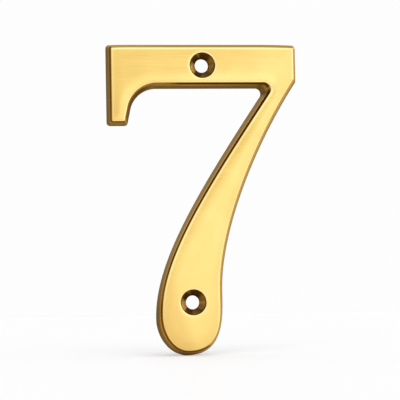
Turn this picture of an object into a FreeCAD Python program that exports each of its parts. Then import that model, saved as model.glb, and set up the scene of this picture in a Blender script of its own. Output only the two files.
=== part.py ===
import FreeCAD, Part
import math
import os

import Sketcher
from FreeCAD import Vector

# Brass door number, a cast seven for two countersunk screws.
# Millimetres and degrees. +X is the reader's right, +Z is up and the polished face looks along -Y.
# The origin is on the axis of the upper screw hole, in the flat back that lies against the door.

NODE = "numeral_seven"

# Sketch codes: the points of a piece, and the sketch's own origin
START = 1
END = 2
CENTRE = 3
ORIGIN = (-1, START)

# Driving sizes. A pull is the length of a curve's tangent handle: a longer one makes a fuller curve.
SIZES = {
    # Section through the casting: how far it comes forward, how far its edge moves in, and the radius
    # of the outline's outer corners at the back and at the face
    "thickness": 5.5,
    "wall_inset": 0.92,
    "bevel": 0.6,
    "edge_round": 0.3,
    "back_corner": 0.95,
    "face_corner": 0.5,
    # Bar, measured from the upper screw hole
    "bar_left": 31.2,
    "bar_right": 31.73,
    "bar_rise": 7.4,
    "bar_height": 14.6,
    "bar_end": 12.48,
    # Serif that hangs from the bar's left end
    "serif_drop": 12.15,
    "serif_foot": 6.8,
    "serif_radius": 8.6,
    "serif_lean": 12.0,
    # Stem, from the bar down to the bulb, and the radius of the notch between the two at the back and
    # at the face
    "stem_left": 21.4,
    "stem_left_lean": 34.2,
    "stem_left_upper_pull": 44.6,
    "stem_left_lower_pull": 17.4,
    "stem_right_lean": 33.9,
    "stem_right_upper_pull": 24.6,
    "stem_right_lower_pull": 19.65,
    "back_notch": 1.8,
    "face_notch": 2.35,
    # Bulb, measured from the lower screw hole
    "bulb_left": 11.73,
    "bulb_left_drop": 5.0,
    "bulb_left_pull": 6.8,
    "bulb_right": 10.25,
    "bulb_right_rise": 4.0,
    "bulb_right_pull": 8.0,
    "bulb_base_left": 1.7,
    "bulb_base_drop": 17.2,
    "bulb_base_left_pull": 5.2,
    "bulb_base_right_pull": 12.9,
    # Screw holes
    "hole_drop": 77.2,
    "hole_left": 4.3,
    "bore": 4.5,
    "countersink_depth": 1.98,
    "countersink_angle": 90.0,
}


class Size:
    """A length or angle: its number, and the sheet formula that keeps it up to date."""

    def __init__(self, number, formula):
        self.number = number
        self.formula = formula

    def __add__(self, other):
        return Size(self.number + other.number, f"({self.formula} + {other.formula})")

    def __sub__(self, other):
        return Size(self.number - other.number, f"({self.formula} - {other.formula})")

    def __mul__(self, other):
        return Size(self.number * other.number, f"{self.formula} * {other.formula}")

    def __truediv__(self, other):
        return Size(self.number / other.number, f"({self.formula}) / ({other.formula})")

    def __neg__(self):
        return Size(-self.number, f"(0 - {self.formula})")


def plain(number):
    """A number that no size drives."""
    return Size(number, str(number))


ZERO = plain(0)
ONE = plain(1)
TWO = plain(2)
RIGHT_ANGLE = plain(90)

# The bevel's angle to the face, and the steps of the arc that eases the one into the other
BEVEL_ANGLE = plain(45)
EASING_STEPS = 2


def sine(angle):
    return Size(math.sin(math.radians(angle.number)), f"sin({angle.formula})")


def cosine(angle):
    return Size(math.cos(math.radians(angle.number)), f"cos({angle.formula})")


def tangent(angle):
    return Size(math.tan(math.radians(angle.number)), f"tan({angle.formula})")


def make_sheet(doc):
    """Write the driving sizes into a sheet and return each as a Size under its own name."""
    sheet = doc.addObject("Spreadsheet::Sheet", "sizes")
    named = {}
    for row, (name, number) in enumerate(SIZES.items(), start=1):
        sheet.set(f"A{row}", name)
        sheet.set(f"B{row}", str(number))
        sheet.setAlias(f"B{row}", name)
        named[name] = Size(number, f"sizes.{name}")
    doc.recompute()
    return named


def outline(s, inset, corner, notch_radius):
    """The seven's outline as a closed list of lines, arcs and curves, moved inwards by inset.

    A point is an (x, z) pair of sizes. The outer corners are rounded to the radius corner.
    """
    def along(point, lean, length):
        """The point at a length down a flank that leans to the left by an angle."""
        return point[0] - length * sine(lean), point[1] - length * cosine(lean)

    # Straight edges of the bar and the serif
    left = inset - s["bar_left"]
    right = s["bar_right"] - inset
    top = s["bar_rise"] - inset
    soffit_back = s["bar_rise"] - s["bar_height"]
    soffit = soffit_back + inset
    foot_back = soffit_back - s["serif_drop"]
    foot = foot_back + inset

    # Bar's lower right corner, where its end turns into the stem's right flank
    lean = s["stem_right_lean"]
    turn = tangent(lean / TWO)
    end = (right, s["bar_rise"] - s["bar_end"] + inset * turn)
    end_above = (right, end[1] + corner * turn)
    flank_right = along(end, lean, corner * turn)
    flank_right_pull = along(end, lean, s["stem_right_upper_pull"])

    # Bulb, from its widest point on the right round its base to its widest point on the left
    hole_x = -s["hole_left"]
    hole_z = -s["hole_drop"]
    wide_right = (hole_x + s["bulb_right"] - inset, hole_z + s["bulb_right_rise"])
    base = (hole_x - s["bulb_base_left"], hole_z - s["bulb_base_drop"] + inset)
    wide_left = (hole_x - s["bulb_left"] + inset, hole_z - s["bulb_left_drop"])
    shrink_right = ONE - inset / (s["bulb_base_drop"] + s["bulb_right_rise"])
    shrink_left = ONE - inset / (s["bulb_base_drop"] - s["bulb_left_drop"])
    pull_right = s["bulb_right_pull"] * shrink_right
    pull_left = s["bulb_left_pull"] * shrink_left
    base_right = (base[0] + s["bulb_base_right_pull"] * shrink_right, base[1])
    base_left = (base[0] - s["bulb_base_left_pull"] * shrink_left, base[1])

    # Notch under the bar, where the soffit meets the stem's left flank
    lean = s["stem_left_lean"]
    notch = (s["stem_left"] + inset * (ONE + sine(lean)) / cosine(lean), soffit)
    setback = notch_radius / tangent((RIGHT_ANGLE - lean) / TWO)
    notch_soffit = (notch[0] - setback, soffit)
    flank_left = along(notch, lean, setback)
    flank_left_pull = along(notch, lean, s["stem_left_upper_pull"])

    # Serif: a concave arc under the bar, then a leaning straight down to the foot
    lean = s["serif_lean"]
    radius = s["serif_radius"]
    arc_z = soffit_back - radius
    rise = arc_z + radius * sine(lean) - foot_back
    foot_x = s["serif_foot"] - s["bar_left"]
    arc_x = foot_x + rise * tangent(lean) + radius * cosine(lean)
    serif_radius = radius + inset
    serif_soffit = (arc_x, soffit)
    serif_side = (arc_x - serif_radius * cosine(lean), arc_z + serif_radius * sine(lean))
    heel = (foot_x - inset * (ONE - sine(lean)) / cosine(lean), foot)
    turn = tangent((RIGHT_ANGLE - lean) / TWO)
    heel_side = along(heel, lean, -(corner * turn))
    heel_foot = (heel[0] - corner * turn, foot)

    top_left = (left, top - corner)
    top_left_after = (left + corner, top)
    top_right = (right - corner, top)
    top_right_after = (right, top - corner)
    toe = (left + corner, foot)
    toe_after = (left, foot + corner)
    right_pull = (wide_right[0], wide_right[1] + s["stem_right_lower_pull"])
    left_pull = (wide_left[0], wide_left[1] + s["stem_left_lower_pull"])
    return [
        ("arc", top_left, top_left_after, corner),
        ("line", top_left_after, top_right),
        ("arc", top_right, top_right_after, corner),
        ("line", top_right_after, end_above),
        ("arc", end_above, flank_right, corner),
        ("curve", flank_right, flank_right_pull, right_pull, wide_right),
        ("curve", wide_right, (wide_right[0], wide_right[1] - pull_right), base_right, base),
        ("curve", base, base_left, (wide_left[0], wide_left[1] - pull_left), wide_left),
        ("curve", wide_left, left_pull, flank_left_pull, flank_left),
        ("hollow", flank_left, notch_soffit, notch_radius),
        ("line", notch_soffit, serif_soffit),
        ("hollow", serif_soffit, serif_side, serif_radius),
        ("line", serif_side, heel_side),
        ("arc", heel_side, heel_foot, corner),
        ("line", heel_foot, toe),
        ("arc", toe, toe_after, corner),
        ("line", toe_after, top_left),
    ]


def spot(point):
    """A point's place on the sketch's own plane."""
    return Vector(point[0].number, point[1].number, 0)


def arc_between(start, end, radius, centre_on_right):
    """The arc of under half a turn that joins two spots, with its centre to one side of the way."""
    chord = end - start
    height = math.sqrt(radius ** 2 - (chord.Length / 2) ** 2)
    to_right = Vector(chord.y, -chord.x, 0).normalize()
    if not centre_on_right:
        to_right = -to_right
    centre = start + chord / 2 + to_right * height
    first, last = (end, start) if centre_on_right else (start, end)
    first_angle = math.atan2(first.y - centre.y, first.x - centre.x)
    last_angle = math.atan2(last.y - centre.y, last.x - centre.x)
    return Part.ArcOfCircle(Part.Circle(centre, Vector(0, 0, 1), radius), first_angle, last_angle)


def bind(sketch, kind, *place_and_size):
    """Add a dimension to a sketch and tie it to its size's formula."""
    *place, size = place_and_size
    number = sketch.addConstraint(Sketcher.Constraint(kind, *place, size.number))
    sketch.setExpression(f"Constraints[{number}]", size.formula)


def bind_point(sketch, geometry, end, point):
    """Hold a point of a sketch at its distances from the sketch's origin."""
    bind(sketch, "DistanceX", *ORIGIN, geometry, end, point[0])
    bind(sketch, "DistanceY", *ORIGIN, geometry, end, point[1])


def draw_curve(sketch, poles):
    """Draw a cubic curve and hold its handles by the circles that mark them."""
    cubic = Part.BSplineCurve()
    cubic.buildFromPolesMultsKnots([spot(pole) for pole in poles], (4, 4), (0.0, 1.0), False, 3)
    curve = sketch.addGeometry(cubic, False)
    handles = poles[1:-1]
    role = "InternalAlignment:Sketcher::BSplineControlPoint"
    for number, pole in enumerate(poles):
        mark = sketch.addGeometry(Part.Circle(spot(pole), Vector(0, 0, 1), 1), True)
        sketch.addConstraint(Sketcher.Constraint(role, mark, CENTRE, curve, number))
        sketch.addConstraint(Sketcher.Constraint("Weight", mark, 1))
        if pole in handles:
            bind_point(sketch, mark, CENTRE, pole)
    return curve


def draw(sketch, path):
    """Draw a closed path in a sketch, with every point and radius bound to the sheet."""
    pieces = []
    for kind, start, *rest in path:
        if kind == "line":
            piece = sketch.addGeometry(Part.LineSegment(spot(start), spot(rest[0])), False)
        elif kind == "curve":
            piece = draw_curve(sketch, [start, *rest])
        else:
            shape = arc_between(spot(start), spot(rest[0]), rest[1].number, kind == "arc")
            piece = sketch.addGeometry(shape, False)
            bind(sketch, "Radius", piece, rest[1])
        # An arc with its centre on the right of the way is drawn from its far end.
        first, last = (END, START) if kind == "arc" else (START, END)
        bind_point(sketch, piece, first, start)
        pieces.append((piece, first, last))
    for this, following in zip(pieces, pieces[1:] + pieces[:1]):
        sketch.addConstraint(Sketcher.Constraint("Coincident", this[0], this[2], following[0], following[1]))


def new_sketch(body, name, depth):
    """A sketch on the body's own XZ plane, moved forwards from the back by a depth."""
    sketch = body.newObject("Sketcher::SketchObject", name)
    plane = [item for item in body.Origin.OriginFeatures if item.Role == "XZ_Plane"][0]
    sketch.AttachmentSupport = [(plane, "")]
    sketch.MapMode = "FlatFace"
    sketch.setExpression("AttachmentOffset.Base.z", depth.formula)
    return sketch


def profile(s):
    """Depth and inset of each section, from the flat back to the polished face.

    The section is a drafted wall, a bevel, then an arc that eases the bevel into the face.
    """
    thickness = s["thickness"]
    edge = s["edge_round"]
    face_inset = s["wall_inset"] + s["bevel"] + edge * tangent(BEVEL_ANGLE / TWO)
    sections = [(ZERO, ZERO), (thickness - s["bevel"], s["wall_inset"])]
    for step in range(EASING_STEPS + 1):
        slope = BEVEL_ANGLE * plain(1 - step / EASING_STEPS)
        sections.append((thickness - edge * (ONE - cosine(slope)), face_inset - edge * sine(slope)))
    return sections


def make_casting(doc, body, s):
    """The casting: one solid laid over its sections, from the back to the polished face."""
    sections = profile(s)
    face_inset = sections[-1][1]
    outlines = []
    for number, (depth, inset) in enumerate(sections):
        corner = s["back_corner"] - (s["back_corner"] - s["face_corner"]) * inset / face_inset
        notch_radius = s["back_notch"] - (s["back_notch"] - s["face_notch"]) * inset / face_inset
        sketch = new_sketch(body, f"outline_{number}", depth)
        draw(sketch, outline(s, inset, corner, notch_radius))
        outlines.append(sketch)
    doc.recompute()

    casting = body.newObject("PartDesign::AdditiveLoft", "casting")
    casting.Profile = outlines[0]
    casting.Sections = outlines[1:]
    casting.Ruled = True
    doc.recompute()
    return casting


def drill(doc, body, s):
    """Two countersunk screw holes: one at the origin, one low in the bulb."""
    centres = new_sketch(body, "hole_centres", s["thickness"])
    radius = s["bore"] / TWO
    for centre in ((ZERO, ZERO), (-s["hole_left"], -s["hole_drop"])):
        circle = centres.addGeometry(Part.Circle(spot(centre), Vector(0, 0, 1), radius.number), False)
        bind(centres, "Radius", circle, radius)
        bind_point(centres, circle, CENTRE, centre)
    doc.recompute()

    holes = body.newObject("PartDesign::Hole", "screw_holes")
    holes.Profile = centres
    doc.recompute()
    holes.ThreadType = "None"
    holes.DepthType = "ThroughAll"
    holes.HoleCutType = "Countersink"
    holes.HoleCutCustomValues = True
    spread = TWO * s["countersink_depth"] * tangent(s["countersink_angle"] / TWO)
    holes.setExpression("Diameter", s["bore"].formula)
    holes.setExpression("HoleCutDiameter", (s["bore"] + spread).formula)
    holes.setExpression("HoleCutCountersinkAngle", s["countersink_angle"].formula)
    body.Tip = holes
    doc.recompute()
    return holes


def make_numeral(doc, s):
    """The whole numeral, one body."""
    body = doc.addObject("PartDesign::Body", NODE)
    body.Label = NODE
    body.Placement = FreeCAD.Placement()
    solid = make_casting(doc, body, s)
    drilled = drill(doc, body, s)
    bore_volume = math.pi * (s["bore"].number / 2) ** 2 * s["thickness"].number
    if solid.Shape.Volume - drilled.Shape.Volume < 2 * bore_volume:
        raise RuntimeError("the screw holes don't go through")
    return body


def check(doc, body):
    """Stop before anything is written if a feature failed or the solid isn't sound."""
    for item in doc.Objects:
        if "Invalid" in item.State or "Error" in item.State:
            raise RuntimeError(f"{item.Name} failed: {item.State}")
    if body.Shape.isNull() or not body.Shape.isValid() or len(body.Shape.Solids) != 1:
        raise RuntimeError(f"{body.Label} isn't one sound solid")


def main():
    doc = FreeCAD.newDocument("door_number")
    sizes = make_sheet(doc)
    numeral = make_numeral(doc, sizes)
    check(doc, numeral)
    os.makedirs("parts", exist_ok=True)
    numeral.Shape.exportStep(f"parts/{NODE}.step")


main()
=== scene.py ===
import math

import bmesh
import bpy
from mathutils import Matrix, Vector
from mathutils.geometry import delaunay_2d_cdt, intersect_point_line
from mathutils.kdtree import KDTree


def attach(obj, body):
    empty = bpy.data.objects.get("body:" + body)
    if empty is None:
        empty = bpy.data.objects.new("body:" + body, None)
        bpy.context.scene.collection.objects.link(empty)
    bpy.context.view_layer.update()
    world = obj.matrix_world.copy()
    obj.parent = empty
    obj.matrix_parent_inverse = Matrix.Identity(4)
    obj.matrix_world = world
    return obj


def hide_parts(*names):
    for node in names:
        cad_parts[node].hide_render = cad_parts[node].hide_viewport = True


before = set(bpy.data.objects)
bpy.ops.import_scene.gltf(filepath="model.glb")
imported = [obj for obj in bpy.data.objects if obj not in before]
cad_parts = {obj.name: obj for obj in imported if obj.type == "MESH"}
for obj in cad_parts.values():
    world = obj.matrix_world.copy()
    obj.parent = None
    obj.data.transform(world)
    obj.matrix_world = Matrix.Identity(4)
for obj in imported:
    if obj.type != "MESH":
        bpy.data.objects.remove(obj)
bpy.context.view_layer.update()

# Brass door number: a cast seven with a brushed face, a bevelled edge and two countersunk holes.
# Sizes are in millimetres and degrees, and go to metres where vertices are made.
MM = 0.001
NODE = "numeral_seven"

# Section, from the flat back to the polished face
THICKNESS = 5.5
WALL_INSET = 0.92
BEVEL = 0.6
BACK_CORNER = 1.2
FACE_CORNER = 0.5

# Share of the inset that the bar's left end and the serif's foot get, so their bevels are narrower
END_SHARE = 0.85
FOOT_SHARE = 0.75

# Bar, from the upper screw hole. Its top falls off a little over a run at each end.
BAR_LEFT = 31.2
BAR_RIGHT = 31.73
BAR_RISE = 7.4
BAR_HEIGHT = 14.6
BAR_END = 12.48
LEFT_FALL = 0.12
LEFT_FALL_RUN = 5.0
RIGHT_FALL = 0.25
RIGHT_FALL_RUN = 11.5

# Serif at the bar's left end
SERIF_DROP = 12.15
SERIF_FOOT = 6.8
SERIF_RADIUS = 8.6
SERIF_LEAN = 12.0

# Stem. A pull is the length of a curve's tangent handle.
STEM_LEFT = 21.4
STEM_LEFT_LEAN = 34.2
STEM_LEFT_UPPER_PULL = 44.6
STEM_LEFT_LOWER_PULL = 17.4
STEM_RIGHT_LEAN = 33.9
STEM_RIGHT_UPPER_PULL = 24.6
STEM_RIGHT_LOWER_PULL = 19.65

# Notch between the bar and the stem: its radii, and how far the face's edge reaches on and turns there
BACK_NOTCH = 1.8
FACE_NOTCH = 2.35
NOTCH_REACH = 0.3
NOTCH_TURN = 0.2

# Bulb, from the lower screw hole. The face's edge is shifted and turned a little on its left side.
BULB_LEFT = 11.73
BULB_LEFT_DROP = 5.0
BULB_LEFT_PULL = 6.8
BULB_LEFT_SHIFT = 0.1
BULB_LEFT_TURN = 3.2
BULB_RIGHT = 10.25
BULB_RIGHT_RISE = 4.0
BULB_RIGHT_PULL = 8.0
BULB_BASE_LEFT = 1.7
BULB_BASE_DROP = 17.2
BULB_BASE_LEFT_PULL = 5.2
BULB_BASE_RIGHT_PULL = 12.9

# Screw holes. Their bores open a little over the last part of their depth, towards the back.
HOLES = [(0.0, 0.0), (-4.3, -77.2)]
BORE = 4.5
COUNTERSINK_DEPTH = 1.98
BORE_FLARE = 0.45
BORE_FLARE_DEPTH = 2.2

# Hand polishing: eased edges, and a face that drops a little towards its edge and rolls over there
BACK_ROUND = 0.12
SHOULDER_ROUND = 0.3
EDGE_ROUND = 0.35
CROWN = 0.13
CROWN_WIDTH = 4.0
ROLL = 0.1
ROLL_WIDTH = 0.9
RIM_ROUND = 0.14
RIM_ROLL = 0.07
RIM_ROLL_WIDTH = 0.55

# Mesh: spacing along the outline and over the face, points along a piece of it, rows over an edge
SPACING = 0.8
FEWEST_POINTS = 3
CORNER_POINTS = 10
HOLLOW_POINTS = 28
HOLE_POINTS = 128
ROLL_ROWS = 6
EASED_ROWS = 4
RIM_ROWS = 5

# Net of triangles: its clearance from the outline as a share of the spacing, the setting that keeps
# only the triangles inside the outline, and the distance at which two points become one
NET_CLEARANCE = 0.6
NET_INSIDE = 1
NET_TOLERANCE = 1e-6

# Numbers of the finishes, from the face round to the back
FACE, BEVELLED, WALL, HOLLOW, TURNED, BORED, BACK = range(7)

UP = (0, 0, 1)
DOWN = (0, 0, -1)
LEFT = (-1, 0, 0)
RIGHT = (1, 0, 0)


def slope_point(point, lean, length):
    """The point at a length down a flank that leans to the left by an angle."""
    lean = math.radians(lean)
    return point[0] - length * math.sin(lean), point[1] - length * math.cos(lean)


def half_tan(angle):
    """The tangent of half an angle."""
    return math.tan(math.radians(angle) / 2)


def fall_off(level, end):
    """The poles of a curve that leaves a level line at a point and falls away to its end."""
    run = (end[0] - level[0]) / 3
    drop = (end[1] - level[1]) / 3
    return [level, (level[0] + run, level[1]), (end[0] - run, level[1] + drop), end]


def outline(inset):
    """The seven's outline as a closed list of lines, arcs and curves, moved inwards by inset."""
    share = inset / (WALL_INSET + BEVEL)
    edge_share = min(share, 1)
    corner = BACK_CORNER - (BACK_CORNER - FACE_CORNER) * share
    notch_radius = BACK_NOTCH - (BACK_NOTCH - FACE_NOTCH) * share
    left = inset * END_SHARE - BAR_LEFT
    right = BAR_RIGHT - inset
    top = BAR_RISE - inset
    top_left = (left + corner, top - LEFT_FALL)
    top_right = (right - corner, top - RIGHT_FALL)
    level_left = (top_left[0] + LEFT_FALL_RUN, top)
    level_right = (top_right[0] - RIGHT_FALL_RUN, top)
    soffit_back = BAR_RISE - BAR_HEIGHT
    soffit = soffit_back + inset
    foot_back = soffit_back - SERIF_DROP
    foot = foot_back + inset * FOOT_SHARE

    # Bar's lower right corner, where its end turns into the stem's right flank
    turn = half_tan(STEM_RIGHT_LEAN)
    end = (right, BAR_RISE - BAR_END + inset * turn)
    end_above = (right, end[1] + corner * turn)
    flank_right = slope_point(end, STEM_RIGHT_LEAN, corner * turn)
    flank_right_pull = slope_point(end, STEM_RIGHT_LEAN, STEM_RIGHT_UPPER_PULL)

    # Bulb, from its widest point on the right round its base to its widest point on the left
    hole_x, hole_z = HOLES[1]
    wide_right = (hole_x + BULB_RIGHT - inset, hole_z + BULB_RIGHT_RISE)
    base = (hole_x - BULB_BASE_LEFT, hole_z - BULB_BASE_DROP + inset)
    wide_left = (hole_x - BULB_LEFT + inset + BULB_LEFT_SHIFT * edge_share, hole_z - BULB_LEFT_DROP)
    shrink_right = 1 - inset / (BULB_BASE_DROP + BULB_RIGHT_RISE)
    shrink_left = 1 - inset / (BULB_BASE_DROP - BULB_LEFT_DROP)
    swing = math.tan(math.radians(BULB_LEFT_TURN)) * edge_share
    under_pull = BULB_LEFT_PULL * shrink_left
    under_right = (wide_right[0], wide_right[1] - BULB_RIGHT_PULL * shrink_right)
    under_left = (wide_left[0] + under_pull * swing, wide_left[1] - under_pull)
    base_right = (base[0] + BULB_BASE_RIGHT_PULL * shrink_right, base[1])
    base_left = (base[0] - BULB_BASE_LEFT_PULL * shrink_left, base[1])
    over_right = (wide_right[0], wide_right[1] + STEM_RIGHT_LOWER_PULL)
    over_left = (wide_left[0] - STEM_LEFT_LOWER_PULL * swing, wide_left[1] + STEM_LEFT_LOWER_PULL)

    # Notch under the bar, where the soffit meets the stem's left flank
    lean = math.radians(STEM_LEFT_LEAN)
    reach = inset * (1 + math.sin(lean)) / math.cos(lean) + NOTCH_REACH * edge_share
    notch = (STEM_LEFT + reach, soffit)
    flank_lean = STEM_LEFT_LEAN + NOTCH_TURN * edge_share
    setback = notch_radius / half_tan(90 - flank_lean)
    notch_soffit = (notch[0] - setback, soffit)
    flank_left = slope_point(notch, flank_lean, setback)
    flank_left_pull = slope_point(notch, flank_lean, STEM_LEFT_UPPER_PULL)

    # Serif: a concave arc under the bar, then a leaning straight down to the foot
    lean = math.radians(SERIF_LEAN)
    arc_z = soffit_back - SERIF_RADIUS
    rise = arc_z + SERIF_RADIUS * math.sin(lean) - foot_back
    foot_x = SERIF_FOOT - BAR_LEFT
    arc_x = foot_x + rise * math.tan(lean) + SERIF_RADIUS * math.cos(lean)
    serif_radius = SERIF_RADIUS + inset
    serif_soffit = (arc_x, soffit)
    serif_side = (arc_x - serif_radius * math.cos(lean), arc_z + serif_radius * math.sin(lean))
    heel = (foot_x - inset / math.cos(lean) + (foot - foot_back) * math.tan(lean), foot)
    turn = half_tan(90 - SERIF_LEAN)
    heel_side = slope_point(heel, SERIF_LEAN, -corner * turn)
    heel_foot = (heel[0] - corner * turn, foot)

    return [
        ("arc", (left, top_left[1] - corner), top_left, corner),
        ("curve", *reversed(fall_off(level_left, top_left))),
        ("line", level_left, level_right),
        ("curve", *fall_off(level_right, top_right)),
        ("arc", top_right, (right, top_right[1] - corner), corner),
        ("line", (right, top_right[1] - corner), end_above),
        ("arc", end_above, flank_right, corner),
        ("curve", flank_right, flank_right_pull, over_right, wide_right),
        ("curve", wide_right, under_right, base_right, base),
        ("curve", base, base_left, under_left, wide_left),
        ("curve", wide_left, over_left, flank_left_pull, flank_left),
        ("hollow", flank_left, notch_soffit, notch_radius),
        ("line", notch_soffit, serif_soffit),
        ("hollow", serif_soffit, serif_side, serif_radius),
        ("line", serif_side, heel_side),
        ("arc", heel_side, heel_foot, corner),
        ("line", heel_foot, (left + corner, foot)),
        ("arc", (left + corner, foot), (left, foot + corner), corner),
        ("line", (left, foot + corner), (left, top_left[1] - corner)),
    ]


def arc_points(start, end, radius, centre_on_right, count):
    """Points along the arc of under half a turn that joins two points, without its last one."""
    start, end = Vector(start), Vector(end)
    chord = end - start
    height = math.sqrt(max(radius ** 2 - (chord.length / 2) ** 2, 0))
    to_right = Vector((chord.y, -chord.x)).normalized()
    centre = start + chord / 2 + to_right * (height if centre_on_right else -height)
    first, last = start - centre, end - centre
    sweep = first.angle_signed(last)
    return [centre + Matrix.Rotation(-sweep * step / count, 2) @ first for step in range(count)]


def curve_points(poles, count):
    """Points along a cubic curve, without its last one."""
    a, b, c, d = (Vector(pole) for pole in poles)
    points = []
    for step in range(count):
        t = step / count
        s = 1 - t
        points.append(a * s ** 3 + b * 3 * s * s * t + c * 3 * s * t * t + d * t ** 3)
    return points


def piece_points(piece, count):
    """Points along a piece of the outline, without its last one."""
    kind, start, *rest = piece
    if kind == "line":
        return [Vector(start).lerp(Vector(rest[0]), step / count) for step in range(count)]
    if kind == "curve":
        return curve_points([start, *rest], count)
    return arc_points(start, rest[0], rest[1], kind == "arc", count)


def piece_count(piece):
    """How many points a piece of the outline gets."""
    if piece[0] == "arc":
        return CORNER_POINTS
    if piece[0] == "hollow":
        return HOLLOW_POINTS
    corners = [Vector(point) for point in piece[1:]]
    length = sum((b - a).length for a, b in zip(corners, corners[1:]))
    return max(round(length / SPACING), FEWEST_POINTS)


COUNTS = [piece_count(piece) for piece in outline(0.0)]


def ring(inset):
    """The outline at an inset as a closed ring of points, the same number at every inset."""
    points = []
    for piece, count in zip(outline(inset), COUNTS):
        points += piece_points(piece, count)
    return points


def eased(before, corner, after, radius, steps):
    """Points of the arc that rounds the corner of a section between two straight runs."""
    before, corner, after = Vector(before), Vector(corner), Vector(after)
    into = (before - corner).normalized()
    out = (after - corner).normalized()
    half = into.angle(out) / 2
    setback = radius / math.tan(half)
    centre = corner + (into + out).normalized() * radius / math.sin(half)
    first = corner + into * setback - centre
    sweep = first.angle_signed(corner + out * setback - centre)
    return [centre + Matrix.Rotation(-sweep * step / steps, 2) @ first for step in range(steps + 1)]


def face_dip(distance):
    """How much polishing lowers the face at a distance inside its edge."""
    crown = CROWN * max(1 - distance / CROWN_WIDTH, 0) ** 2
    roll = ROLL * max(1 - distance / ROLL_WIDTH, 0) ** 2
    return crown + roll


def wall_section():
    """Rows of (inset, depth, finish) from the back's edge over the bevel to the start of the face.

    A row's finish is that of the band between it and the row after it.
    """
    face_inset = WALL_INSET + BEVEL
    face_depth = THICKNESS - face_dip(0)
    face_slope = 2 * CROWN / CROWN_WIDTH + 2 * ROLL / ROLL_WIDTH
    back_in = (face_inset, 0.0)
    back_edge = (0.0, 0.0)
    shoulder = (WALL_INSET, face_depth - BEVEL)
    face_edge = (face_inset, face_depth)
    face_in = (face_inset + 1, face_depth + face_slope)
    rows = [(*row, WALL) for row in eased(back_in, back_edge, shoulder, BACK_ROUND, EASED_ROWS)]
    rows += [(*row, WALL) for row in eased(back_edge, shoulder, face_edge, SHOULDER_ROUND, EASED_ROWS)]
    rows[-1] = (*rows[-1][:2], BEVELLED)
    rows += [(*row, BEVELLED) for row in eased(shoulder, face_edge, face_in, EDGE_ROUND, EASED_ROWS)]
    rows[-1] = (*rows[-1][:2], FACE)
    for step in range(1, ROLL_ROWS + 1):
        distance = ROLL_WIDTH * step / ROLL_ROWS
        rows.append((face_inset + distance, THICKNESS - face_dip(distance), FACE))
    return rows


def hole_section():
    """Rows of (radius, depth, finish) from the flat of the face down a countersink to the back."""
    bore = BORE / 2
    rim = bore + COUNTERSINK_DEPTH
    rim_depth = THICKNESS - RIM_ROLL
    face_out = (rim + 1, rim_depth + 2 * RIM_ROLL / RIM_ROLL_WIDTH)
    rim_edge = (rim, rim_depth)
    seat = (bore, rim_depth - COUNTERSINK_DEPTH)
    flare = (bore, BORE_FLARE_DEPTH)
    rows = []
    for step in range(ROLL_ROWS - 1):
        share = step / ROLL_ROWS
        rows.append((rim + RIM_ROLL_WIDTH * (1 - share), THICKNESS - RIM_ROLL * share ** 2, FACE))
    rows += [(*row, FACE) for row in eased(face_out, rim_edge, seat, RIM_ROUND, RIM_ROWS)]
    rows[-1] = (*rows[-1][:2], TURNED)
    rows += [(*row, BORED) for row in eased(rim_edge, seat, flare, RIM_ROUND, EASED_ROWS)]
    rows.append((*flare, BORED))
    rows.append((bore + BORE_FLARE, 0.0, BORED))
    return rows


class Edge:
    """The edge of the face, to ask how far inside it a point lies."""

    def __init__(self, points):
        self.points = points
        self.tree = KDTree(len(points))
        for number, point in enumerate(points):
            self.tree.insert(point.to_3d(), number)
        self.tree.balance()

    def distance(self, point):
        """How far a point lies from the nearest place on the edge."""
        number = self.tree.find(point.to_3d())[1]
        near = []
        for first in (number - 1, number):
            start = self.points[first]
            end = self.points[(first + 1) % len(self.points)]
            share = intersect_point_line(point, start, end)[1]
            foot = start.lerp(end, min(max(share, 0), 1))
            near.append((point - foot).length)
        return min(near)

    def face_depth(self, point):
        """How far forward the face is at a point."""
        return THICKNESS - face_dip(self.distance(point))


def add_vertex(mesh, point, depth):
    """A vertex at a point of the outline's plane, so far in front of the back."""
    return mesh.verts.new((point[0] * MM, -depth * MM, point[1] * MM))


def flat(place):
    """How far right and up a place lies, in millimetres."""
    return place.x / MM, place.z / MM


def lengths(points):
    """Distance along a closed ring at each point, and all round."""
    along = [0.0]
    for this, following in zip(points, points[1:] + points[:1]):
        along.append(along[-1] + (following - this).length)
    return along


def skin(mesh, uv, rings, rows, along):
    """Faces between neighbouring rings. Their coordinates are millimetres along and across the band."""
    count = len(rings[0])
    across = 0.0
    for number in range(len(rings) - 1):
        here, there = rows[number], rows[number + 1]
        step = math.hypot(there[0] - here[0], there[1] - here[1])
        low, high = rings[number], rings[number + 1]
        for first in range(count):
            second = (first + 1) % count
            face = mesh.faces.new((low[first], low[second], high[second], high[first]))
            face.material_index = here[2]
            start, end = along[first], along[first + 1]
            corners = [(start, across), (end, across), (end, across + step), (start, across + step)]
            for loop, corner in zip(face.loops, corners):
                loop[uv].uv = flat(loop.vert.co) if here[2] == FACE else corner
        across += step


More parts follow.
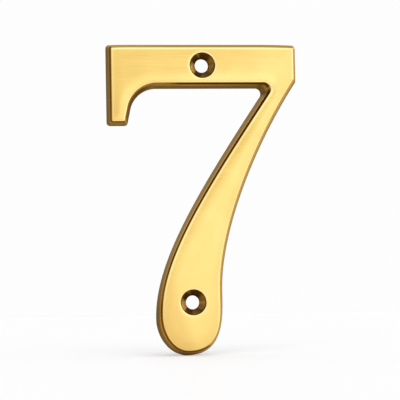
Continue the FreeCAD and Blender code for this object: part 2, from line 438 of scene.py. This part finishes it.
def fill(mesh, uv, rings, hole_radius, depth_at, finish):
    """Close a flat or crowned area between an outline and its holes with an even net of triangles."""
    vertices = [vertex for vertex_ring in rings for vertex in vertex_ring]
    places = [Vector(flat(vertex.co)) for vertex in vertices]
    edges = []
    for vertex_ring in rings:
        first = vertices.index(vertex_ring[0])
        count = len(vertex_ring)
        edges += [(first + step, first + (step + 1) % count) for step in range(count)]
    border = KDTree(len(places))
    for number, place in enumerate(places):
        border.insert(place.to_3d(), number)
    border.balance()

    x_step = SPACING
    z_step = SPACING * math.sqrt(3) / 2
    for row in range(math.ceil((BAR_RISE - HOLES[1][1] + BULB_BASE_DROP) / z_step)):
        for column in range(math.ceil((BAR_LEFT + BAR_RIGHT) / x_step)):
            place = Vector((column * x_step + row % 2 * x_step / 2 - BAR_LEFT, BAR_RISE - row * z_step))
            if border.find(place.to_3d())[2] > SPACING * NET_CLEARANCE:
                places.append(place)
    net = delaunay_2d_cdt(places, edges, [], NET_INSIDE, NET_TOLERANCE)
    points, triangles, sources = net[0], net[2], net[3]
    made = {}
    for triangle in triangles:
        middle = sum((points[number] for number in triangle), Vector((0, 0))) / 3
        if any((middle - Vector(hole)).length < hole_radius for hole in HOLES):
            continue
        corners = []
        for number in triangle:
            source = sources[number][0]
            if source < len(vertices):
                corners.append(vertices[source])
                continue
            if number not in made:
                made[number] = add_vertex(mesh, points[number], depth_at(points[number]))
            corners.append(made[number])
        face = mesh.faces.new(corners)
        face.material_index = finish
        for loop in face.loops:
            loop[uv].uv = flat(loop.vert.co)


def mark_edge_distance(mesh, wear, edge):
    """Write how far each point of the face lies from the face's edge and from the rim of a hole."""
    rim = BORE / 2 + COUNTERSINK_DEPTH
    for face in mesh.faces:
        if face.material_index != FACE:
            continue
        for loop in face.loops:
            place = Vector(flat(loop.vert.co))
            from_rim = min((place - Vector(hole)).length for hole in HOLES) - rim
            loop[wear].uv = edge.distance(place), max(from_rim, 0)


def mark_hollow(mesh):
    """Give the side its own finish within the serif's hollow, where it faces right."""
    right = SERIF_FOOT - BAR_LEFT + SERIF_RADIUS
    bottom = BAR_RISE - BAR_HEIGHT - SERIF_DROP + BACK_CORNER
    faces_right = 0.02
    for face in mesh.faces:
        x, z = flat(face.calc_center_median())
        if face.material_index == WALL and face.normal.x > faces_right and x < right and z > bottom:
            face.material_index = HOLLOW


def make_numeral():
    """The whole casting as one closed mesh."""
    mesh = bmesh.new()
    uv = mesh.loops.layers.uv.new("surface")
    wear = mesh.loops.layers.uv.new("wear")

    rows = wall_section()
    edge = Edge(ring(WALL_INSET + BEVEL))
    rings = [[add_vertex(mesh, point, depth) for point in ring(inset)] for inset, depth, finish in rows]
    skin(mesh, uv, rings, rows, lengths(ring(0.0)))
    face_rings = [rings[-1]]
    back_rings = [rings[0]]

    rows = hole_section()
    rim = rows[0][0]
    along = [rim * math.tau * step / HOLE_POINTS for step in range(HOLE_POINTS + 1)]
    for hole in HOLES:
        rings = []
        for radius, depth, finish in rows:
            vertex_ring = []
            for step in range(HOLE_POINTS):
                turn = math.tau * step / HOLE_POINTS
                outwards = Vector((math.cos(turn), math.sin(turn)))
                crown = edge.face_depth(Vector(hole) + outwards * rim) / THICKNESS
                vertex_ring.append(add_vertex(mesh, Vector(hole) + outwards * radius, depth * crown))
            rings.append(vertex_ring)
        skin(mesh, uv, rings, rows, along)
        face_rings.append(rings[0])
        back_rings.append(rings[-1])

    fill(mesh, uv, face_rings, rim, edge.face_depth, FACE)
    fill(mesh, uv, back_rings, rows[-1][0], lambda place: 0.0, BACK)
    mark_edge_distance(mesh, wear, edge)
    bmesh.ops.recalc_face_normals(mesh, faces=mesh.faces)
    mark_hollow(mesh)
    data = bpy.data.meshes.new("door_number")
    mesh.to_mesh(data)
    mesh.free()
    data.shade_smooth()
    piece = bpy.data.objects.new("door_number", data)
    bpy.context.scene.collection.objects.link(piece)
    return piece


class Nodes:
    """A node tree with short calls to add nodes and join them."""

    # Noise seldom leaves this range
    NOISE = (0.3, 0.7)

    def __init__(self, tree):
        self.tree = tree
        tree.nodes.clear()

    def add(self, kind, **settings):
        """A new node with its settings."""
        node = self.tree.nodes.new(kind)
        for name, value in settings.items():
            setattr(node, name, value)
        return node

    def join(self, source, target):
        """Link an output to an input."""
        self.tree.links.new(source, target)

    def math(self, operation, *values):
        """An operation on two or more values in turn, each a socket or a number."""
        result = values[0]
        for value in values[1:]:
            node = self.add("ShaderNodeMath", operation=operation)
            for socket, part in zip(node.inputs, (result, value)):
                if isinstance(part, bpy.types.NodeSocket):
                    self.join(part, socket)
                else:
                    socket.default_value = part
            result = node.outputs[0]
        return result

    def spread(self, value, low, high, to_low=0, to_high=1, smooth=False):
        """Map a value's range to another one, held at its ends."""
        node = self.add("ShaderNodeMapRange")
        if smooth:
            node.interpolation_type = "SMOOTHSTEP"
        self.join(value, node.inputs["Value"])
        node.inputs["From Min"].default_value = low
        node.inputs["From Max"].default_value = high
        node.inputs["To Min"].default_value = to_low
        node.inputs["To Max"].default_value = to_high
        return node.outputs["Result"]

    def mix(self, share, first, second):
        """Mix two colours by a share, each a socket or a colour."""
        node = self.add("ShaderNodeMix", data_type="RGBA")
        self.join(share, node.inputs["Factor"])
        for socket, value in ((node.inputs[6], first), (node.inputs[7], second)):
            if isinstance(value, bpy.types.NodeSocket):
                self.join(value, socket)
            else:
                socket.default_value = (*value, 1)
        return node.outputs[2]

    def split(self, vector):
        """A vector's three parts."""
        node = self.add("ShaderNodeSeparateXYZ")
        self.join(vector, node.inputs["Vector"])
        return node.outputs["X"], node.outputs["Y"], node.outputs["Z"]

    def along(self, vector, towards):
        """How far a vector reaches along a direction."""
        dot = self.add("ShaderNodeVectorMath", operation="DOT_PRODUCT")
        self.join(vector, dot.inputs[0])
        dot.inputs[1].default_value = Vector(towards).normalized()
        return dot.outputs["Value"]

    def facing(self, towards):
        """How far the surface faces a direction: 1 straight towards it, -1 straight away."""
        return self.along(self.add("ShaderNodeNewGeometry").outputs["Normal"], towards)

    def uv(self, layer):
        """The coordinates in one of the mesh's layers, in millimetres."""
        return self.add("ShaderNodeUVMap", uv_map=layer).outputs["UV"]

    def place(self):
        """How far right and up a point of the casting lies, in millimetres."""
        scaled = self.add("ShaderNodeVectorMath", operation="SCALE")
        self.join(self.add("ShaderNodeTexCoord").outputs["Object"], scaled.inputs[0])
        scaled.inputs["Scale"].default_value = 1 / MM
        x, y, z = self.split(scaled.outputs["Vector"])
        return x, z

    def noise(self, vector, scale, detail, stretch=(1, 1, 1)):
        """Noise with so many features to a unit of the vector, stretched along its axes."""
        mapping = self.add("ShaderNodeMapping")
        mapping.inputs["Scale"].default_value = stretch
        self.join(vector, mapping.inputs["Vector"])
        node = self.add("ShaderNodeTexNoise")
        node.inputs["Scale"].default_value = scale
        node.inputs["Detail"].default_value = detail
        self.join(mapping.outputs["Vector"], node.inputs["Vector"])
        return node.outputs["Fac"]


def new_brass(name, edge_tint):
    """A metal material, its nodes and its shader. The edge tint is its colour at a glancing angle."""
    material = bpy.data.materials.new(name)
    material.use_nodes = True
    nodes = Nodes(material.node_tree)
    shader = nodes.add("ShaderNodeBsdfPrincipled")
    shader.inputs["Metallic"].default_value = 1.0
    shader.inputs["Specular Tint"].default_value = (*edge_tint, 1)
    output = nodes.add("ShaderNodeOutputMaterial")
    nodes.join(shader.outputs["BSDF"], output.inputs["Surface"])
    return material, nodes, shader


def coat(nodes, shader, colour, pattern, roughness):
    """Join the shader's colour, and a roughness that follows a pattern between two values."""
    nodes.join(colour, shader.inputs["Base Color"])
    nodes.join(nodes.spread(pattern, *nodes.NOISE, *roughness), shader.inputs["Roughness"])


def relief(nodes, shader, *layers):
    """Bump from layers of (pattern, height in millimetres)."""
    heights = [nodes.math("MULTIPLY", pattern, size) for pattern, size in layers]
    bump = nodes.add("ShaderNodeBump")
    bump.inputs["Strength"].default_value = 1.0
    bump.inputs["Distance"].default_value = MM
    nodes.join(nodes.math("ADD", *heights), bump.inputs["Height"])
    nodes.join(bump.outputs["Normal"], shader.inputs["Normal"])


# Colours of the face: golds of its own tone, a darker gold for painted shade, a pale gold for a
# painted highlight, and a pale gold for worn edges that also holds a painted highlight
DEEP_GOLD = (0.90, 0.615, 0.172)
BRIGHT_GOLD = (1.0, 0.735, 0.236)
SHADE_GOLD = (0.87, 0.575, 0.168)
HIGHLIGHT_GOLD = (1.0, 0.84, 0.32)
WORN_HIGHLIGHT_GOLD = (1.0, 0.85, 0.37)


def face_painted_shade(nodes, surface):
    """Painted shade on the face: low in the serif, and on the bulb's left side."""
    lower_left = nodes.spread(nodes.along(surface, (-0.95, -0.31, 0)), 29.8, 34.8, smooth=True)
    left_of_bar = nodes.spread(nodes.along(surface, (-0.8, -0.6, 0)), 26.5, 32, 0, 0.8)
    above_bulb = nodes.spread(nodes.split(surface)[1], -30, -25)
    return nodes.math("MAXIMUM", lower_left, nodes.math("MULTIPLY", left_of_bar, above_bulb))


def face_painted_highlight(nodes, surface):
    """Painted highlight on the rolled edge: round the notch, and on the left just above the bulb."""
    height = nodes.split(surface)[1]
    below_stem = nodes.spread(height, -58, -45, 1, 0)
    above_base = nodes.spread(height, -85, -75)
    rolls_left = nodes.spread(nodes.facing((-0.95, 0, 0.3)), 0.03, 0.08, 0, 0.5)
    by_bulb = nodes.math("MULTIPLY", below_stem, above_base, rolls_left)
    upper_right = nodes.spread(nodes.along(surface, (0.5, 0.87, 0)), -13, 0)
    below_bar = nodes.spread(height, -9, -4, 1, 0.4)
    rolls_in = nodes.spread(nodes.facing((-0.87, 0, -0.5)), 0, 0.045, 0, 0.85)
    by_notch = nodes.math("MULTIPLY", upper_right, below_bar, rolls_in)
    return nodes.math("MAXIMUM", by_notch, by_bulb)


def face_wear_and_highlight(nodes, surface):
    """Where the face is worn pale, with a painted highlight: along its edge, less on the left and the
    bulb, and round the holes.
    """
    from_edge, from_rim = nodes.split(nodes.uv("wear"))[:2]
    at_edge = nodes.spread(from_edge, 0.1, 1, 0.85, 0, smooth=True)
    at_rim = nodes.spread(from_rim, 0.1, 0.9, 0.75, 0, smooth=True)
    off_left = nodes.spread(nodes.facing((0.8, 0, 0.6)), -0.2, 0.1, 0.35, 1)
    off_bulb = nodes.spread(nodes.along(surface, (-0.5, -0.87, 0)), 71, 80, 1, 0.15)
    return nodes.math("MAXIMUM", nodes.math("MULTIPLY", at_edge, off_left, off_bulb), at_rim)


def brushed_brass(name):
    """Polished brass of the face: faint level brushing, soft clouds, slight waves, painted shade, a
    painted highlight on the rolled edge, and paler worn edges with a painted highlight.
    """
    material, nodes, shader = new_brass(name, edge_tint=(1.0, 0.9, 0.7))
    surface = nodes.uv("surface")
    streaks = nodes.noise(surface, scale=2.2, detail=4, stretch=(0.03, 1, 1))
    clouds = nodes.noise(surface, scale=0.07, detail=2)
    waves = nodes.noise(surface, scale=0.12, detail=1, stretch=(0.6, 1, 1))
    cloud_tone = nodes.spread(clouds, *nodes.NOISE, 0, 0.55)
    streak_tone = nodes.spread(streaks, *nodes.NOISE, 0, 0.32)
    colour = nodes.mix(nodes.math("ADD", cloud_tone, streak_tone), DEEP_GOLD, BRIGHT_GOLD)
    # Painted shade, low in the serif and on the bulb's left side
    colour = nodes.mix(face_painted_shade(nodes, surface), colour, SHADE_GOLD)
    # Painted highlight on the rolled edge
    colour = nodes.mix(face_painted_highlight(nodes, surface), colour, HIGHLIGHT_GOLD)
    # Pale worn edges with a painted highlight
    colour = nodes.mix(face_wear_and_highlight(nodes, surface), colour, WORN_HIGHLIGHT_GOLD)
    coat(nodes, shader, colour, streaks, roughness=(0.14, 0.2))
    relief(nodes, shader, (streaks, 0.0005), (waves, 0.03))
    return material


# Colours of the bevel: two of its own tone, then painted shade on the left and below, painted light on
# top, painted shade in the serif, and painted shade along the stem and under the bar
BEVEL_DEEP = (0.68, 0.33, 0.05)
BEVEL_BRIGHT = (0.8, 0.4, 0.065)
BEVEL_SHADED_LEFT = (0.76, 0.3, 0.014)
BEVEL_LIT_TOP = (0.74, 0.42, 0.095)
BEVEL_SHADED_BELOW = (0.56, 0.32, 0.075)
BEVEL_SHADED_IN_SERIF = (0.34, 0.175, 0.035)
SHADE_ON_STEM = (0.18, 0.076, 0.008)
SHADE_UNDER_BAR = (0.08, 0.03, 0.0024)


def bevel_in_serif(nodes):
    """Where the bevel goes round the serif's hollow, which has its own painted shade."""
    x, z = nodes.place()
    left_of_bar = nodes.spread(x, -7, -15, smooth=True)
    above_foot = nodes.spread(z, -17.9, -16.9)
    lower_right = nodes.spread(nodes.facing((0.5, 0, -0.87)), 0.2, 0.4)
    return nodes.math("MULTIPLY", left_of_bar, above_foot, lower_right)


def bevel_shade_mask(nodes, in_serif):
    """Where the bevel gets painted shade: facing down, along the stem's left and in the notch."""
    x, z = nodes.place()
    on_bulb = nodes.spread(z, -55, -80, 0, 0.1)
    down = nodes.math("ADD", nodes.facing((-0.5, 0, -0.87)), on_bulb)
    faces_down = nodes.spread(down, 0.31, 0.42, smooth=True)
    off_serif = nodes.spread(in_serif, 0, 1, 1, 0)
    below = nodes.math("MULTIPLY", faces_down, off_serif)
    right_of_serif = nodes.spread(x, -20, -10)
    above_bulb = nodes.spread(z, -60, -20, 0, 0.4)
    upper_left = nodes.spread(nodes.facing((-0.83, 0, 0.56)), 0.3, 0.55)
    by_stem = nodes.math("MULTIPLY", right_of_serif, above_bulb, upper_left)
    right_end = nodes.spread(x, 14, 18, 0, 0.6)
    faces_left = nodes.spread(nodes.facing(LEFT), 0.2, 0.45)
    in_notch = nodes.math("MULTIPLY", right_end, faces_left)
    return nodes.math("MAXIMUM", below, by_stem, in_notch)


def bevel_brass(name):
    """Brown-gold brass of the bevel, with painted shade on the left, below, in the serif, along the stem's
    left and in the notch, and painted light on top.
    """
    material, nodes, shader = new_brass(name, edge_tint=(0.8, 0.55, 0.25))
    streaks = nodes.noise(nodes.uv("surface"), scale=3, detail=3, stretch=(0.04, 1, 1))
    in_serif = bevel_in_serif(nodes)
    # Painted shade along the stem's left, darkest under the bar
    under_bar = nodes.spread(nodes.place()[1], -17, -10, smooth=True)
    shade_colour = nodes.mix(under_bar, SHADE_ON_STEM, SHADE_UNDER_BAR)
    colour = nodes.mix(nodes.spread(streaks, *nodes.NOISE), BEVEL_DEEP, BEVEL_BRIGHT)
    # Painted shade facing left and down, painted light facing up
    colour = nodes.mix(nodes.spread(nodes.facing(LEFT), 0.3, 0.6), colour, BEVEL_SHADED_LEFT)
    colour = nodes.mix(nodes.spread(nodes.facing(UP), 0.4, 0.65), colour, BEVEL_LIT_TOP)
    colour = nodes.mix(nodes.spread(nodes.facing(DOWN), -0.1, 0.15, smooth=True), colour, BEVEL_SHADED_BELOW)
    # Painted shade in the serif's hollow
    colour = nodes.mix(in_serif, colour, BEVEL_SHADED_IN_SERIF)
    colour = nodes.mix(bevel_shade_mask(nodes, in_serif), colour, shade_colour)
    coat(nodes, shader, colour, streaks, roughness=(0.2, 0.34))
    relief(nodes, shader, (streaks, 0.0015))
    return material


# Colours of the side wall: a dark brown that is partly painted shade, a painted highlight along the
# front edge, brighter on the upper left, and painted shade by the notch and under the bar
WALL_DEEP = (0.125, 0.077, 0.033)
WALL_BRIGHT = (0.47, 0.325, 0.16)
WALL_SHOULDER_HIGHLIGHT = (0.54, 0.28, 0.06)
WALL_SHOULDER_HIGHLIGHT_UPPER_LEFT = (0.9, 0.6, 0.23)
WALL_SHADE_BY_NOTCH = (0.065, 0.034, 0.012)
WALL_SHADE_UNDER_BAR = (0.12, 0.051, 0.01)


def wall_shade_by_notch(nodes):
    """Where the side gets painted shade below the bar, more so towards the notch."""
    x, z = nodes.place()
    towards_notch = nodes.spread(x, -4, 17, 0.22, 0.45)
    above_bulb = nodes.spread(z, -40, -25)
    lower_left = nodes.spread(nodes.facing((-0.5, 0, -0.87)), 0, 0.75)
    return nodes.math("MULTIPLY", towards_notch, lower_left, above_bulb)


def wall_shade_under_bar(nodes, from_back):
    """Where the back half of the bar's underside gets darker painted shade still."""
    x, z = nodes.place()
    back_half = nodes.spread(from_back, 1.5, 2.7, 0.75, 0, smooth=True)
    faces_down = nodes.spread(nodes.facing(DOWN), 0.5, 0.8)
    right_of_serif = nodes.spread(x, -20, -14)
    above_bulb = nodes.spread(z, -40, -25)
    return nodes.math("MULTIPLY", back_half, faces_down, right_of_serif, above_bulb)


def wall_brass(name):
    """Brown brass of the drafted side, darkened partly as painted shade: lines along it, lighter towards
    the front, painted light on top, a painted highlight along the front edge, painted shade below the bar.
    """
    material, nodes, shader = new_brass(name, edge_tint=(0.7, 0.56, 0.38))
    surface = nodes.uv("surface")
    streaks = nodes.noise(surface, scale=0.6, detail=3, stretch=(0.04, 1, 1))
    from_back = nodes.split(surface)[1]
    front_tone = nodes.spread(from_back, 0.4, 3, 0, 0.3)
    streak_tone = nodes.spread(streaks, 0.35, 0.65, -0.27, 0.3)
    # Painted light: sides facing up are lighter
    painted_top_light = nodes.spread(nodes.facing(UP), 0, 0.5, 0, 0.6)
    tone = nodes.math("ADD", front_tone, streak_tone, painted_top_light)
    # Painted highlight along the front edge, brighter where it faces the upper left
    upper_left = nodes.spread(nodes.facing((-0.6, 0, 0.8)), 0.62, 0.9)
    shoulder_highlight = nodes.spread(from_back, 3.2, 4.6, 0, 0.9, smooth=True)
    colour = nodes.mix(tone, WALL_DEEP, WALL_BRIGHT)
    colour = nodes.mix(shoulder_highlight, colour, nodes.mix(upper_left, WALL_SHOULDER_HIGHLIGHT, WALL_SHOULDER_HIGHLIGHT_UPPER_LEFT))
    # Painted shade below the bar, more towards the notch
    colour = nodes.mix(wall_shade_by_notch(nodes), colour, WALL_SHADE_BY_NOTCH)
    # Painted shade on the back half of the bar's underside
    colour = nodes.mix(wall_shade_under_bar(nodes, from_back), colour, WALL_SHADE_UNDER_BAR)
    coat(nodes, shader, colour, streaks, roughness=(0.3, 0.46))
    relief(nodes, shader, (streaks, 0.006))
    return material


# Colours of the serif's hollow, painted shade that is lighter by the bar
HOLLOW_DEEP = (0.12, 0.078, 0.03)
HOLLOW_BRIGHT = (0.27, 0.19, 0.09)
HOLLOW_BY_BAR = (0.38, 0.27, 0.13)


def hollow_brass(name):
    """Brown brass of the side within the serif's hollow, darkened as painted shade, most where it faces
    right.
    """
    material, nodes, shader = new_brass(name, edge_tint=(0.36, 0.26, 0.13))
    streaks = nodes.noise(nodes.uv("surface"), scale=1.1, detail=3, stretch=(0.03, 1, 1))
    dark = nodes.mix(nodes.spread(streaks, 0.35, 0.65), HOLLOW_DEEP, HOLLOW_BRIGHT)
    # Painted shade, darkest where the side faces right
    inside = nodes.spread(nodes.facing(RIGHT), 0.05, 0.5)
    coat(nodes, shader, nodes.mix(inside, HOLLOW_BY_BAR, dark), streaks, roughness=(0.3, 0.46))
    relief(nodes, shader, (streaks, 0.006))
    return material


# Colours of the countersinks, a dark brown that is painted shade, with sectors of painted highlight
# and of painted shade. A sector is the direction its side faces, how far the side has to face it for
# the colour to start and to be full, and the colour.
TURNED_DEEP = (0.22, 0.102, 0.013)
TURNED_BRIGHT = (0.42, 0.21, 0.034)
TURNED_RIM = (0.1, 0.042, 0.005)
# Painted highlights
PAINTED_GLINTS = [
    ((-0.94, 0, 0.34), 0.62, 0.7, (0.8, 0.46, 0.1)),
    ((0.96, 0, 0.28), 0.58, 0.7, (0.72, 0.43, 0.105)),
    ((-0.88, 0, -0.48), 0.65, 0.7, (0.29, 0.145, 0.022)),
    ((0.42, 0, -0.91), 0.63, 0.69, (0.44, 0.23, 0.04)),
]
# Painted shade
PAINTED_SHADE_SECTORS = [
    ((0.73, 0, -0.68), 0.63, 0.69, (0.09, 0.038, 0.004)),
    ((0.45, 0, 0.89), 0.63, 0.69, (0.14, 0.06, 0.007)),
    ((-0.25, 0, -1), 0.5, 0.67, (0.08, 0.034, 0.004)),
]


def turned_brass(name):
    """Brass of the countersinks, darkened as painted shade: rings left by the cutter, sectors of painted
    highlight and painted shade, a dark rim.
    """
    material, nodes, shader = new_brass(name, edge_tint=(0.75, 0.45, 0.15))
    surface = nodes.uv("surface")
    rings = nodes.noise(surface, scale=4, detail=3, stretch=(0.01, 1, 1))
    colour = nodes.mix(nodes.spread(rings, *nodes.NOISE), TURNED_DEEP, TURNED_BRIGHT)
    for towards, start, full, sector_colour in PAINTED_GLINTS + PAINTED_SHADE_SECTORS:
        sector = nodes.spread(nodes.facing(towards), start, full, smooth=True)
        colour = nodes.mix(sector, colour, sector_colour)
    at_rim = nodes.spread(nodes.split(surface)[1], 0.7, 1.35, 0.8, 0, smooth=True)
    colour = nodes.mix(at_rim, colour, TURNED_RIM)
    coat(nodes, shader, colour, rings, roughness=(0.34, 0.48))
    shader.inputs["Anisotropic"].default_value = 0.6
    shader.inputs["Anisotropic Rotation"].default_value = 0.25
    tangent = nodes.add("ShaderNodeTangent", direction_type="UV_MAP", uv_map="surface")
    nodes.join(tangent.outputs["Tangent"], shader.inputs["Tangent"])
    relief(nodes, shader, (rings, 0.02))
    return material


def bored_brass(name):
    """Drilled brass of the bores, darkened as painted shade inside the hole."""
    material, nodes, shader = new_brass(name, edge_tint=(0.25, 0.15, 0.07))
    rings = nodes.noise(nodes.uv("surface"), scale=3, detail=3, stretch=(0.02, 1, 1))
    deep = (0.05, 0.026, 0.007)
    bright = (0.16, 0.09, 0.03)
    colour = nodes.mix(nodes.spread(rings, *nodes.NOISE), deep, bright)
    coat(nodes, shader, colour, rings, roughness=(0.4, 0.55))
    relief(nodes, shader, (rings, 0.02))
    return material


def cast_brass(name):
    """Sand-cast back, ground flat and left dull."""
    material, nodes, shader = new_brass(name, edge_tint=(0.6, 0.42, 0.22))
    surface = nodes.uv("surface")
    grains = nodes.noise(surface, scale=2.5, detail=4)
    stains = nodes.noise(surface, scale=0.09, detail=4)
    stain_tone = nodes.spread(stains, *nodes.NOISE, 0, 0.7)
    grain_tone = nodes.spread(grains, *nodes.NOISE, 0, 0.3)
    deep = (0.22, 0.135, 0.045)
    bright = (0.46, 0.30, 0.115)
    colour = nodes.mix(nodes.math("ADD", stain_tone, grain_tone), deep, bright)
    coat(nodes, shader, colour, grains, roughness=(0.4, 0.6))
    relief(nodes, shader, (grains, 0.03))
    return material


def make_materials():
    """One finish for each band of the casting, in the order of its finish numbers."""
    return [
        brushed_brass("brushed_face"),
        bevel_brass("bevel"),
        wall_brass("side_wall"),
        hollow_brass("serif_hollow"),
        turned_brass("countersink"),
        bored_brass("bore"),
        cast_brass("cast_back"),
    ]


# Floor. Its look is a share of plain white and the rest shading, of which a share is gloss.
FLOOR_RADIUS = 12000
FLOOR_SIDES = 96
FLOOR_COLOUR = (0.93, 0.92, 0.9)
FLOOR_WHITE = 0.1
FLOOR_SHEEN = 0.08
FLOOR_ROUGHNESS = 0.3

# Lights for the floor: name, direction they come from, how wide they look in degrees, and strength
FLOOR_LIGHTS = [
    ("front_light", (-0.07, -1, 0.42), 36, 2.2),
    ("back_light", (0, 0.6, 1), 60, 0.3),
]


def pale_floor(name):
    """Pale board with a slight sheen, whitened where it is seen directly, in metal or through glass."""
    material = bpy.data.materials.new(name)
    material.use_nodes = True
    nodes = Nodes(material.node_tree)
    paper = nodes.add("ShaderNodeBsdfDiffuse")
    paper.inputs["Color"].default_value = (*FLOOR_COLOUR, 1)
    sheen = nodes.add("ShaderNodeBsdfGlossy")
    sheen.inputs["Roughness"].default_value = FLOOR_ROUGHNESS
    board = nodes.add("ShaderNodeMixShader")
    board.inputs["Fac"].default_value = FLOOR_SHEEN
    nodes.join(paper.outputs["BSDF"], board.inputs[1])
    nodes.join(sheen.outputs["BSDF"], board.inputs[2])
    white = nodes.add("ShaderNodeEmission")
    path = nodes.add("ShaderNodeLightPath")
    rays = ("Is Camera Ray", "Is Glossy Ray", "Is Transmission Ray")
    seen = nodes.math("MAXIMUM", *(path.outputs[ray] for ray in rays))
    blend = nodes.add("ShaderNodeMixShader")
    nodes.join(nodes.math("MULTIPLY", seen, FLOOR_WHITE), blend.inputs["Fac"])
    nodes.join(board.outputs["Shader"], blend.inputs[1])
    nodes.join(white.outputs["Emission"], blend.inputs[2])
    output = nodes.add("ShaderNodeOutputMaterial")
    nodes.join(blend.outputs["Shader"], output.inputs["Surface"])
    return material


def make_floor():
    """A wide pale floor under the casting's foot, nearly white, that keeps a soft shadow."""
    floor_z = (HOLES[1][1] - BULB_BASE_DROP) * MM
    bpy.ops.mesh.primitive_circle_add(
        vertices=FLOOR_SIDES,
        radius=FLOOR_RADIUS * MM,
        fill_type="NGON",
        location=(0, 0, floor_z),
    )
    floor = bpy.context.object
    floor.name = "floor"
    floor.data.materials.append(pale_floor("pale_floor"))


def make_floor_lights():
    """Two very soft lights above the front and the back, for the floor and the shadow at the foot."""
    for name, towards, angle, energy in FLOOR_LIGHTS:
        data = bpy.data.lights.new(name, "SUN")
        data.angle = math.radians(angle)
        data.energy = energy
        lamp = bpy.data.objects.new(name, data)
        lamp.rotation_mode = "QUATERNION"
        lamp.rotation_quaternion = Vector(towards).to_track_quat("Z", "Y")
        lamp.visible_glossy = False
        bpy.context.scene.collection.objects.link(lamp)


def grey(level):
    """A neutral colour of a level, where 1 is white."""
    return level, level, level


# Studio that the brass reflects: each light's direction, the angle from it to where its core ends and
# to where it fades out, and its colour. A later light covers an earlier one.
STUDIO_GREY = grey(0.5)
STUDIO_LIGHTS = [
    # White backdrop, ceiling, right wall and a lamp high on the right
    ((0.1, 1, 0.05), 25, 50, grey(0.985)),
    ((0.1, 0.1, 1), 20, 45, grey(0.7)),
    ((1, 0.1, 0.1), 20, 50, grey(0.7)),
    ((0.85, -0.2, 0.46), 12, 30, grey(2.0)),
    # Left wall, warm wall in front, and a large and a small soft box above the front
    ((-1, 0.2, 0), 25, 60, grey(0.5)),
    ((0.1, -1, 0), 25, 70, (0.92, 0.88, 0.8)),
    ((0.12, -0.7, 0.7), 14, 33, (1.2, 1.25, 1.45)),
    ((-0.17, -0.955, 0.24), 4, 13, (1.12, 1.15, 1.3)),
]
STUDIO_FLAGS = [
    # Dark flags high on the left and at the front left
    ((-0.75, -0.1, 0.65), 20, 40, grey(0.09)),
    ((-0.8, -0.6, 0.1), 15, 32, grey(0.1)),
]

# Soft panel at the front right: bright on its left, calmer on its right
PANEL_BRIGHT = (1.32, 1.38, 1.64)
PANEL_CALM = (1.18, 1.21, 1.4)


def make_world():
    """A pale studio: white behind, a bright soft panel at the front right, dark flags on the left."""
    world = bpy.data.worlds.new("studio")
    bpy.context.scene.world = world
    world.use_nodes = True
    nodes = Nodes(world.node_tree)
    direction = nodes.add("ShaderNodeTexCoord").outputs["Generated"]

    def lobe(towards, inner, outer):
        """1 within an angle of a direction, falling to 0 at a wider angle."""
        cosines = math.cos(math.radians(outer)), math.cos(math.radians(inner))
        return nodes.spread(nodes.along(direction, towards), *cosines, smooth=True)

    def side(towards, low, high):
        """0 to 1 from one angle to another past the plane that a direction is square to."""
        sines = math.sin(math.radians(low)), math.sin(math.radians(high))
        return nodes.spread(nodes.along(direction, towards), *sines, smooth=True)

    level = STUDIO_GREY
    for towards, inner, outer, colour in STUDIO_LIGHTS:
        level = nodes.mix(lobe(towards, inner, outer), level, colour)

    # The panel lies below one slanting edge or right of an upright one
    below = side((0.63, 0.004, -0.776), -1.2, 1.5)
    beyond = side((0.986, 0.168, 0), -0.8, 1.2)
    front_right = lobe((0.35, -0.93, 0.05), 30, 50)
    panel = nodes.math("MULTIPLY", nodes.math("MAXIMUM", below, beyond), front_right)
    glow = nodes.mix(side((0.98, 0.199, 0), -1.5, 2.5), PANEL_BRIGHT, PANEL_CALM)
    level = nodes.mix(panel, level, glow)

    for towards, inner, outer, colour in STUDIO_FLAGS:
        level = nodes.mix(lobe(towards, inner, outer), level, colour)
    background = nodes.add("ShaderNodeBackground")
    nodes.join(level, background.inputs["Color"])
    output = nodes.add("ShaderNodeOutputWorld")
    nodes.join(background.outputs["Background"], output.inputs["Surface"])


# Camera: the point it looks at, how far off it stands, how far it stands to the left and below in
# degrees, its roll, and its lens
CAMERA_AIM = (-0.841, 0, -43.737)
CAMERA_DISTANCE = 655
CAMERA_LEFT = 7.98
CAMERA_BELOW = 3.19
CAMERA_ROLL = -1.06
CAMERA_SENSOR = 36
CAMERA_LENS = 180
CAMERA_CLIP = 10


def make_camera():
    """A long lens, a little left of the casting and below its middle, turned to level the bar."""
    yaw = math.radians(CAMERA_LEFT)
    pitch = math.radians(CAMERA_BELOW)
    towards = Vector((-math.sin(yaw) * math.cos(pitch), -math.cos(yaw) * math.cos(pitch), -math.sin(pitch)))
    data = bpy.data.cameras.new("camera")
    data.sensor_width = CAMERA_SENSOR
    data.lens = CAMERA_LENS
    data.clip_start = CAMERA_CLIP * MM
    camera = bpy.data.objects.new("camera", data)
    camera.matrix_world = (
        Matrix.Translation((Vector(CAMERA_AIM) + towards * CAMERA_DISTANCE) * MM)
        @ towards.to_track_quat("Z", "Y").to_matrix().to_4x4()
        @ Matrix.Rotation(math.radians(CAMERA_ROLL), 4, "Z")
    )
    bpy.context.scene.collection.objects.link(camera)
    bpy.context.scene.camera = camera


numeral = make_numeral()
for finish in make_materials():
    numeral.data.materials.append(finish)
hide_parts(NODE)
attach(numeral, "root")

make_floor()
make_floor_lights()
make_world()
make_camera()
bpy.context.scene.view_settings.view_transform = "Standard"
